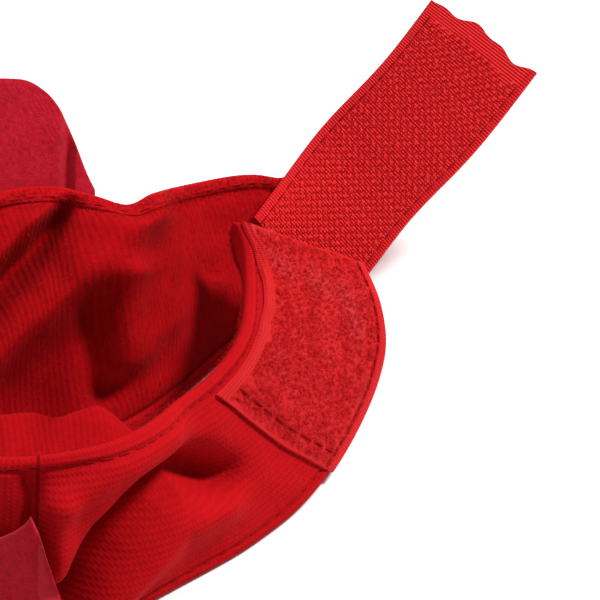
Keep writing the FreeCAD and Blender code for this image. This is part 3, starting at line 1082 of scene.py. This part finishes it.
def back_wing_place(u, v):
    top = -0.5 + 0.11 * u
    across = top + (0.6 - top) * v
    tip = np.clip(4.2 - 2.75 * (across + 0.37), 3.4 - 0.13 * (across < 0.1), 5.0)
    along = back_line + (tip - back_line) * u
    across = across + 0.025 * rounded(u, v, (1, 0), (0.16, 0.1))
    height = wing_height(along, across) + 0.35 * ripple(along, across, 19.0) * (1 - v)
    points = band.point(along, across, height)
    return points, band.outward(along), np.stack([band.distance(along), across * 45], 1)


def near_wing_place(u, v):
    top = 0.5 - 0.26 * u ** 2.2
    across = top + (0.95 - top) * v
    tip = 10.97 + 0.73 * (across - 0.24)
    along = near_line + (tip - near_line) * u - 0.05 * rounded(u, v, (1, 0), (0.2, 0.25))
    height = wing_height(along, across) + 0.12 * ripple(along, across, 15.0) \
        + wing_clear * step_up(along, 10.3, 11.2)
    points = band.point(along, across, height)
    return points, band.outward(along), np.stack([band.distance(along), across * 36], 1)


felt_draw = np.random.default_rng(5)


def felt_face(side):
    def height(u, v):
        edge = np.minimum(np.minimum(u, 1 - u), np.minimum(v, 1 - v))
        lump = felt_draw.normal(0, 0.035, len(u))
        return side * (felt_thick / 2 - 0.3 * (1 - step_up(edge, 0.0, 0.02)) + lump)
    return height


def settle_felt(thing, body):
    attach(thing, body)


for name, place, node, body, width, length in (
        ("felt_wing_behind", back_wing_place, "felt_wing_back", "back_wing", 48.0, 32.0),
        ("felt_wing_front", near_wing_place, "felt_wing_near", "near_wing", 22.0, 17.5)):
    wing = slab(name, place, felt_face(1), felt_face(-1), finishes["felt"], 110, 90)
    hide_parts(node)
    settle_felt(wing, body)

base_low, base_high = (np.array(c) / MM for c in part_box("felt_base"))
base_middle = (base_low + base_high) / 2
base_radius = (base_high[1] - base_low[1]) / 2


def round_place(u, v):
    """A round blank from an even grid."""
    x, y = 2 * u - 1, 2 * v - 1
    disc_x, disc_y = x * np.sqrt(1 - y * y / 2), y * np.sqrt(1 - x * x / 2)
    radius = base_radius * (1 + 0.004 * np.sin(9 * np.arctan2(disc_y, disc_x)))
    points = np.stack([np.full(len(u), base_middle[0]), base_middle[1] + disc_x * radius,
                       base_middle[2] + disc_y * radius], 1)
    return points, np.tile((-1.0, 0.0, 0.0), (len(u), 1)), np.stack([disc_x, disc_y], 1) * base_radius


base = slab("felt_base_round", round_place, felt_face(1), felt_face(-1), finishes["felt"], 110, 110)
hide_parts("felt_base")
settle_felt(base, "centre")

# ---- Cushion ----
cover_low, cover_high = (np.array(c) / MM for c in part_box("cushion_cover"))
cushion_radius = (cover_high[1] - cover_low[1]) / 2
cushion_rise = cover_high[0] - cover_low[0]
cushion_foot = np.array((cover_high[0], (cover_low[1] + cover_high[1]) / 2, (cover_low[2] + cover_high[2]) / 2))
gathers = 44


def cushion_start():
    """A closed dome a little smaller than the finished cushion, resting on its flat foot."""
    rings, around = 46, 176
    points = []
    for i in range(rings):
        angle = math.pi / 2 * i / (rings - 1)
        radius = (cushion_radius - 1.1) * math.cos(angle) ** 0.55 if i < rings - 1 else 0.02
        rise = 0.6 + (cushion_rise - 2.4) * math.sin(angle) ** 0.9
        turn = np.arange(around) * TAU / around
        points.append(np.stack([cushion_foot[0] - np.full(around, rise), cushion_foot[1] + radius * np.cos(turn),
                                cushion_foot[2] + radius * np.sin(turn)], 1))
    return face_out(piece_from("cushion_cloth", np.concatenate(points), loft(rings, around), None,
                               finishes["cushion"]))


def blow_up(thing):
    """Cloth under a little pressure, pinned where it is sewn to the base."""
    start = spots_of(thing)
    sewn = thing.vertex_groups.new(name="sewn")
    sewn.add([i for i, c in enumerate(start) if c[0] > (cushion_foot[0] - 1.6) * MM], 1.0, "REPLACE")
    cloth = thing.modifiers.new("cloth", "CLOTH")
    settings = cloth.settings
    settings.vertex_group_mass = "sewn"
    settings.use_pressure = True
    settings.uniform_pressure_force = 4.0
    settings.tension_stiffness = settings.compression_stiffness = 18
    settings.bending_stiffness = 0.6
    settings.mass = 0.12
    settings.effector_weights.gravity = 0
    cloth.collision_settings.use_collision = False
    scene = bpy.context.scene
    for step in range(1, 21):
        scene.frame_set(step)
    ready = thing.evaluated_get(bpy.context.evaluated_depsgraph_get())
    moved = spots_of(ready)
    thing.modifiers.remove(cloth)
    scene.frame_set(1)
    change = moved - start
    reach = np.linalg.norm(change, axis=1, keepdims=True)
    cap = 2.2 * MM
    return start + change * np.minimum(1, cap / np.maximum(reach, 1e-9))


cushion = cushion_start()
places = blow_up(cushion)
relative = places / MM - cushion_foot
around = np.arctan2(relative[:, 2], relative[:, 1])
out = np.hypot(relative[:, 1], relative[:, 2])
rise = -relative[:, 0]
near_foot = np.exp(-rise / 5.0) * step_up(rise, 0.2, 1.2)
pucker = 0.42 * np.cos(gathers * around) + 0.25 * np.cos(17 * around + 1.1) + 0.2 * np.cos(5 * around)
out = out + near_foot * pucker
limit = np.maximum(cushion_radius + 0.9 - 0.03 * rise, 0)
out = np.minimum(out, limit)
places = np.stack([cushion_foot[0] - rise, cushion_foot[1] + out * np.cos(around),
                   cushion_foot[2] + out * np.sin(around)], 1)
cushion.data.vertices.foreach_set("co", (places * MM).astype(np.float32).ravel())
flat_map = np.stack([np.cos(around), np.sin(around)], 1) * (out + (rise * 0.8))[:, None]
lay_map(cushion.data, flat_map)
cushion.data.update()
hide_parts("cushion_cover", "cushion_core")
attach(cushion, "centre")

ring_turn = np.arange(52) * TAU / 52
ring_radius = cushion_radius + 0.7
ring_points = np.stack([np.full(52, base_low[0] - 0.12), cushion_foot[1] + ring_radius * np.cos(ring_turn),
                        cushion_foot[2] + ring_radius * np.sin(ring_turn)], 1)
ring_ahead = np.stack([np.zeros(52), -np.sin(ring_turn), np.cos(ring_turn)], 1)
ring_row = copies("cushion_row", stitch_item, ring_points, ring_ahead, np.tile((-1.0, 0.0, 0.0), (52, 1)),
                  finishes["thread"], sizes=np.full(52, 0.92), tilt=0.06, uneven=0.05, seed=9)
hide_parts("cushion_seam_thread")
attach(ring_row, "centre")

for node, finish in (("pin_guard_disc", "card"), ("cushion_base_disc", "felt")):
    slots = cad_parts[node].data.materials
    for i in range(len(slots)):
        slots[i] = finishes[finish]

for item in small_items:
    bpy.data.objects.remove(item)


# ---- Floor, light and camera ----
def stage_floor():
    finish = Finish("pale_floor", Base_Color=rgb(0.93, 0.93, 0.93), Roughness=0.9, Specular_IOR_Level=0.05)
    half, level = 4000.0, -0.05
    corners = [(x * half, y * half, level) for x, y in ((-1, -1), (1, -1), (1, 1), (-1, 1))]
    piece_from("pale_floor", corners, [(0, 1, 2, 3)], None, finish.material)


stage_floor()
world = bpy.data.worlds.new("studio")
world.use_nodes = True
studio_light = world.node_tree.nodes["Background"].inputs
studio_light["Color"].default_value = rgb(1.0, 0.99, 0.98)
studio_light["Strength"].default_value = 0.22
bpy.context.scene.world = world


def face_point(thing, place, aim):
    """Stands a lamp or the camera at a place, in metres, and turns it to look at another."""
    thing.location = place
    thing.rotation_euler = (Vector(aim) - Vector(place)).to_track_quat("-Z", "Y").to_euler()


# Name, place and width in metres, and power in watts.
for name, place, size, power in (("key", (0.62, 0.2, 0.85), 0.26, 13.5), ("fill", (-0.5, -0.8, 0.75), 0.8, 1.1),
                                 ("top", (-0.25, 0.35, 1.0), 0.6, 5.5)):
    lamp = bpy.data.lights.new(name, "AREA")
    lamp.shape, lamp.size, lamp.energy = "DISK", size, power
    face_point(placed(name, lamp), place, (0.0, -0.01, 0.02))
bpy.context.scene.view_settings.view_transform = "Standard"

camera_elevation, camera_distance, camera_lens = math.radians(40.0), 0.8, 249.6
toward_camera = np.array((0.0, -math.cos(camera_elevation), math.sin(camera_elevation)))
target = (layout_shift + toward_camera * 8.0) * MM
camera_data = bpy.data.cameras.new("camera")
camera_data.sensor_width, camera_data.lens = 36.0, camera_lens
camera_data.clip_start, camera_data.clip_end = 0.02, 20.0
camera = placed("camera", camera_data)
face_point(camera, Vector(target + toward_camera * camera_distance), target)
bpy.context.scene.camera = camera
